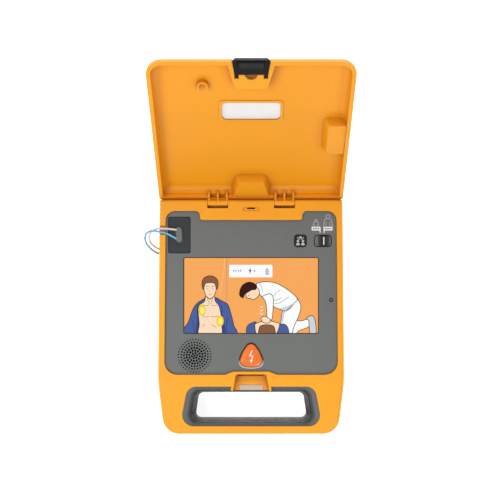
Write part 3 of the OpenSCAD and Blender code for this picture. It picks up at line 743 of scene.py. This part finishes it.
def draw_patient(art):
    """Head and bare chest in an open shirt, with the two pads in place."""
    art.draw("shirt", loop([(-76.5, -31), (-72, -14), (-67, 0), (-61.5, 6.8), (-53.5, 11.6),
                            (-47, 13.4), (-41, 12.6), (-33.5, 8.6), (-27, 4.6), (-23.4, -6),
                            (-20.2, -19), (-20, -31)]), EDGE)
    art.draw("shirt_shade", loop([(-64.5, -31), (-62.6, -14), (-62.5, 1.5), (-60, 3), (-59, -8),
                                  (-59.4, -31)]))
    art.draw("shirt_shade", loop([(-36, -31), (-34, -18), (-35.6, -4), (-34.6, -2), (-30.8, -16),
                                  (-30.5, -31)]))
    art.draw("skin", loop([(-59.6, -31), (-60, -18), (-61.2, -4), (-60.2, 3.5), (-54, 8),
                           (-52, 14), (-43.2, 14), (-41.5, 8.4), (-37.2, 2.6), (-34.8, -8),
                           (-34, -19), (-35.8, -31)]), EDGE)
    art.draw("skin_shade", loop([(-51.6, 13), (-47.6, 9.6), (-43.4, 13), (-43.6, 15.4),
                                 (-51.4, 15.4)]))
    art.draw("skin", loop([(-54.6, 26), (-54, 18.6), (-51, 13.2), (-47.6, 11.6), (-44.2, 13.2),
                           (-41.2, 18.6), (-40.6, 26), (-43, 32), (-52.2, 32)]), EDGE)
    art.draw("hair", loop([(-55.4, 22), (-57, 28), (-55.6, 34), (-50.6, 37.4), (-44.6, 37.4),
                           (-39.6, 34), (-38.2, 28), (-39.8, 22), (-41.4, 27), (-43.6, 29.6),
                           (-51.6, 29.6), (-53.8, 27)]), EDGE)
    for x in (-50.9, -44.3):
        art.line("outline", curve([(x - 1.5, 25.2), (x, 25.8), (x + 1.5, 25.2)]), 0.5)
        art.line("outline", curve([(x - 1.1, 22.9), (x, 22.6), (x + 1.1, 22.9)]), 0.35)
    art.line("skin_shade", curve([(-47.6, 22.4), (-48.3, 19.4), (-47.2, 19)]), 0.4)
    art.line("outline", curve([(-49.3, 16.3), (-47.6, 15.9), (-45.9, 16.3)]), 0.4)
    for chest in ([(-57, -8.4), (-52.6, -9.8), (-48.4, -9)],
                  [(-46.8, -9), (-42, -9.8), (-38.4, -8.4)],
                  [(-57, -20.6), (-54.8, -19.8), (-53.6, -18)],
                  [(-45.6, -18), (-43.2, -20.6), (-40.2, -21.4)],
                  [(-56.6, 4.2), (-52.6, 3.2), (-49, 4)], [(-46.2, 4), (-42.4, 3.2), (-39.2, 4.2)],
                  [(-51, 12.6), (-49, 7.6), (-48.4, 5)], [(-44.2, 12.6), (-46, 7.6), (-46.4, 5)]):
        art.line("outline", curve(chest), 0.4)
    for lapel in ([(-52.6, 14), (-57, 8), (-61.6, 4), (-62.4, -6)],
                  [(-41.6, 12.8), (-36, 5.4), (-32.6, -4)],
                  [(-69.6, -12), (-66.4, -19), (-66, -31)],
                  [(-27.4, -10), (-28.6, -20), (-27.8, -31)]):
        art.line("outline", curve(lapel), 0.45)
    for x, y, turn in ((-56.8, -2, 8), (-36, -14.6, 0)):
        art.draw("pad", oval(x, y, 4.3, 6.4, turn))
        art.draw("pad_light", oval(x + 0.2, y - 0.4, 2.6, 4, turn))


def draw_rescuer(art):
    """A kneeling helper in white pressing on the chest of someone lying down."""
    art.draw("cloth_shade", loop([(64, -12), (68.5, -8.6), (72.5, -9.6), (75, -20), (74.6, -31),
                                  (68.8, -31), (66.8, -20)]), EDGE)
    art.draw("white", loop([(50, -14.6), (58, -14.4), (65.6, -12.8), (67, -18), (66, -21.6),
                            (56, -25.6), (49, -31), (40, -31), (40, -22)]), EDGE)
    art.draw("white", loop([(37, -2), (34.6, -14), (33.6, -22), (36, -31), (46, -31), (50, -20),
                            (55, -9), (57.6, 2), (55, 9), (51.6, 12), (44, 4)]), EDGE)
    art.draw("cloth_shade", loop([(36.8, -5), (35, -17), (36, -20), (38.8, -6), (41, -0.6)]))
    art.draw("shirt", loop([(-5.6, -26), (-4.2, -20), (0, -17.2), (6, -16.4), (9, -31),
                            (-4, -31)]), EDGE)
    art.draw("shirt", loop([(26, -31), (31, -20.6), (36, -18), (40.6, -19.4), (43.4, -25),
                            (42, -31)]), EDGE)
    art.draw("skin", loop([(8, -31), (4.4, -20), (6.6, -17), (14.6, -14.6), (22, -14.4),
                           (29.6, -16.4), (33, -18.6), (27, -31)]), EDGE)
    art.draw("white", loop([(6.2, 28), (11, 30.2), (19, 30.9), (30, 28.8), (44, 20.6), (53.4, 11.4),
                            (50, 6.4), (45.6, 0.6), (39.6, -2.8), (32.6, -0.6), (26, 2.4),
                            (20, 8), (13.6, 12.4), (8.8, 18.6)]), EDGE)
    art.draw("cloth_shade", loop([(49.6, 6.4), (45.6, 1), (39.6, -2.2), (33, -0.2), (36, 0.6),
                                  (42, 2.4)]))
    art.draw("white", loop([(13.4, 14), (16.6, 8), (18, -1), (18.6, -12), (21, -14.8),
                            (24.2, -11.6), (25.4, 0), (25.6, 12), (22, 17)]), EDGE)
    for fold in ([(27, 5.4), (33, 6.4), (40, 11), (44, 13.6)], [(26.6, 14), (29, 18), (33.6, 21.4)],
                 [(26, 9.4), (31, 10.2), (35, 12.4)], [(9.6, 29), (12.4, 24), (13, 18.6)],
                 [(37.6, -4.4), (42, -1.4), (47.6, 5)]):
        art.line("outline", curve(fold), 0.4)
    art.draw("skin", loop([(11.4, -11.6), (15, -9), (19, -10.4), (22.6, -13.6), (19.6, -16.8),
                           (14, -16)]), EDGE)
    art.draw("hair", loop([(10, -31), (9.6, -22), (13, -19.4), (18.2, -18.8), (23.4, -19.4),
                           (26.8, -22), (26.6, -31)]), EDGE)
    art.draw("skin", loop([(-6, 17), (-5, 12.6), (-0.6, 11.4), (2.6, 10.4), (7, 12.8), (9.6, 17),
                           (8.4, 23), (2, 25), (-3, 22)]), EDGE)
    art.draw("dark_hair", loop([(-13.6, 15), (-13, 22), (-9.6, 27.6), (-3.4, 30.8), (2.6, 29.8),
                                (6.8, 26.2), (5.4, 21.8), (0.6, 21), (-3.4, 18.6), (-7, 16.4),
                                (-9.4, 12)]))
    art.line("outline", curve([(-3.6, 14.6), (-2.4, 15.6), (-1.2, 15.4)]), 0.4)
    for y in (2.6, -1.4, -5.4):
        art.line("white", curve([(10.2, y), (11.9, y - 1.8), (13.6, y)], 1), 0.8)


def make_picture():
    art = Picture()
    draw_backdrop(art)
    draw_patient(art)
    draw_rescuer(art)
    art.finish()


make_picture()
make_screen_edge_shadow()

# ---------- printed symbols, and painted shade in the selector's slot and the microphone's dish ---

INK_T = 0.06
SHOCK_MARK_Y = -55.6
BED_BOTTOM, BED_TOP = 90.2, 94.6
BEDS = ((69.9, 80.3, 79.7), (83.7, 94.1, 84.3))  # left end, right end, leg
SLOT_X, SLOT_Y = (73.2, 92.8), (71.65, 84.95)
SLOT_DEPTH = 2
DISH_DEPTH = 0.8
DISH_SHADE_R, DISH_SHADE_WIDTH = 1.95, 0.7


def make_shock_symbol():
    """White lightning flash that ends in an arrow head, on the shock button."""
    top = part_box("shock_button")[1].z / MM
    print_ = Print("shock_symbol", MATERIALS["white_ink"])
    flash = [Vector((a, SHOCK_MARK_Y + b))
             for a, b in ((1.4, 7.4), (-2.3, 0.5), (2.1, 1.5), (0.2, -5))]
    for a, b in zip(flash, flash[1:]):
        print_.ribbon([a, b], 1.2, top - 0.5, top + INK_T)
    print_.plate([Vector((a, SHOCK_MARK_Y + b)) for a, b in ((-1.9, -3.9), (0, -7.6), (2, -3.5))],
                 top - 0.5, top + INK_T * 1.2)
    print_.finish("shock_button", "light_ring")


def person(print_, x, y, height, width, line, z):
    """Outline of a head and body on a bed, as a patient symbol, from its foot at x, y."""
    head = 0.16 * height
    print_.ribbon(oval(x, y + height - head, head, head, steps=16), line, z - INK_T, z + INK_T,
                  closed=True)
    for side in (-1, 1):
        body = [(x + side * width * 0.12, y + height * 0.66), (x + side * width * 0.34,
                y + height * 0.6), (x + side * width * 0.44, y + height * 0.4),
                (x + side * width * 0.5, y)]
        arm = [(x + side * width * 0.2, y + height * 0.4), (x + side * width * 0.24, y)]
        print_.ribbon(curve(body), line, z - INK_T, z + INK_T)
        print_.ribbon(curve(arm), line * 0.8, z - INK_T, z + INK_T)


def make_panel_symbols():
    """A child and an adult on their beds, over the two ends of the selector."""
    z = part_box("fascia")[1].z / MM
    white = Print("patient_symbols", MATERIALS["white_ink"])
    grey = Print("patient_figures", MATERIALS["grey_ink"])
    dark = Print("patient_marks", MATERIALS["dark_ink"])
    person(grey, 75.0, BED_TOP, 8.6, 7, 0.6, z)
    person(grey, 88.9, BED_TOP, 14.0, 10, 0.65, z)
    for x0, x1, leg in BEDS:
        white.plate(round_rectangle(x0, x1, BED_BOTTOM, BED_TOP, 0.4), z - INK_T, z + INK_T)
        white.plate(round_rectangle(leg - 0.6, leg + 0.6, BED_BOTTOM - 2.6, BED_BOTTOM + 0.2, 0.2),
                    z - INK_T, z + INK_T)
        for step in range(4):
            x = x0 + 2.3 + 1.9 * step
            dark.plate(round_rectangle(x - 0.55, x + 0.55, BED_BOTTOM + 1.5, BED_TOP - 1.5, 0.3),
                       z, z + INK_T * 1.6)
    white.finish("case", "light_ring")
    grey.finish("case", "light_ring")
    dark.finish("case", "black_plastic")


def make_language_symbol():
    """Two heads facing each other with speech between them."""
    low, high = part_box("language_button")
    x, y = (low.x + high.x) / 2 / MM, (low.y + high.y) / 2 / MM
    z = high.z / MM
    print_ = Print("language_symbol", MATERIALS["grey_ink"])
    for side in (-1, 1):
        print_.plate(oval(x + side * 2.9, y - 0.4, 1.35, 1.6), z - 0.3, z + INK_T)
        print_.plate(loop([(x + side * 4.9, y - 4.9), (x + side * 4.4, y - 2.9),
                           (x + side * 2.9, y - 2.3), (x + side * 1.3, y - 2.9),
                           (x + side * 1.1, y - 4.9)]), z - 0.3, z + INK_T)
        print_.ribbon(curve([(x + side * 0.9, y + 1.2), (x + side * 2.6, y + 2.2),
                             (x + side * 3.4, y + 4.2)]), 0.7, z - 0.3, z + INK_T)
    print_.plate(oval(x, y + 3.9, 1.7, 1.3), z - 0.3, z + INK_T)
    print_.finish("language_button", "light_ring")


def make_selector_mark():
    """White line on the selector's knob, the floor of the slot that it runs in, and a dark rim on
    that floor that is painted shade in the gap round the slide.
    """
    low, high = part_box("mode_slider")
    x, y = (low.x + high.x) / 2 / MM, (low.y + high.y) / 2 / MM
    print_ = Print("selector_mark", MATERIALS["white_ink"])
    z = high.z / MM
    print_.plate(round_rectangle(x - 0.65, x + 0.65, y - 4.6, y + 4.6, 0.6), z - 0.1, z + INK_T)
    print_.finish("mode_slider", "light_ring")
    floor_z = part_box("fascia")[1].z / MM - SLOT_DEPTH
    slot = Print("selector_slot_shade", MATERIALS["black_plastic"])
    # painted shade: a dark rim on the slot's floor, where the gap round the slide lies in shade
    slot.ribbon(round_rectangle(*SLOT_X, *SLOT_Y, 3.4), 0.9, floor_z, floor_z + 0.07, closed=True)
    slot.finish("case", "black_plastic")
    base = Print("selector_floor", MATERIALS["panel_grey"])
    base.plate(round_rectangle(73, 93, 71.5, 85.1, 3.8), floor_z, floor_z + 0.03)
    base.finish("case", "panel_grey")


def make_microphone_dish_shade():
    """Dark ring in the dish round the microphone's hole: painted shade of the dimple."""
    low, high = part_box("microphone")
    x, y = (low.x + high.x) / 2 / MM, (low.y + high.y) / 2 / MM
    dish_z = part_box("fascia")[1].z / MM - DISH_DEPTH
    ring = Print("microphone_dish_shade", MATERIALS["black_plastic"])
    # painted shade: a dark ring in the microphone's dish
    ring.ribbon(oval(x, y, DISH_SHADE_R, DISH_SHADE_R, steps=24), DISH_SHADE_WIDTH, dish_z, dish_z + 0.35,
                closed=True)
    ring.finish("case", "black_plastic")


make_shock_symbol()
make_panel_symbols()
make_language_symbol()
make_selector_mark()
make_microphone_dish_shade()

# ---------- floor and lights ----------


FLOOR_GAP = 0.0002
FLOOR_SIDE = 8
FLOOR_GLOW = 0.95
WORLD_GLOW = 0.3


def make_stage():
    low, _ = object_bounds()
    bpy.ops.mesh.primitive_plane_add(size=FLOOR_SIDE, location=(0, 0, low.z - FLOOR_GAP))
    floor = bpy.context.object
    floor.name = "floor"
    material, tree, shader = new_material("floor")
    color = mix(tree, noise(tree, 3, 2), (0.9, 0.9, 0.9, 1), (0.93, 0.93, 0.93, 1))
    tree.links.new(color, shader.inputs["Base Color"])
    tree.links.new(color, shader.inputs["Emission Color"])
    shader.inputs["Emission Strength"].default_value = FLOOR_GLOW
    shader.inputs["Roughness"].default_value = 0.9
    floor.data.materials.append(material)


def area_light(name, at, target, size, power):
    data = bpy.data.lights.new(name, "AREA")
    data.shape = "SQUARE"
    data.size = size
    data.energy = power
    light = bpy.data.objects.new(name, data)
    bpy.context.scene.collection.objects.link(light)
    light.location = at
    light.rotation_euler = (Vector(target) - Vector(at)).to_track_quat("-Z", "Y").to_euler()


def make_lights():
    world = bpy.data.worlds.new("studio")
    world.use_nodes = True
    background = world.node_tree.nodes["Background"]
    background.inputs["Color"].default_value = (1, 1, 1, 1)
    background.inputs["Strength"].default_value = WORLD_GLOW
    bpy.context.scene.world = world
    area_light("key", (-0.85, -0.2, 1.5), (0, 0.05, 0.05), 0.8, 10.8)
    area_light("front", (0.5, -1.0, 1.3), (0, 0.05, 0.08), 0.9, 9.8)
    area_light("back", (0.1, 1.3, 1.2), (0, -0.1, 0.05), 0.6, 10)
    bpy.context.scene.view_settings.view_transform = "Standard"


make_stage()
make_lights()
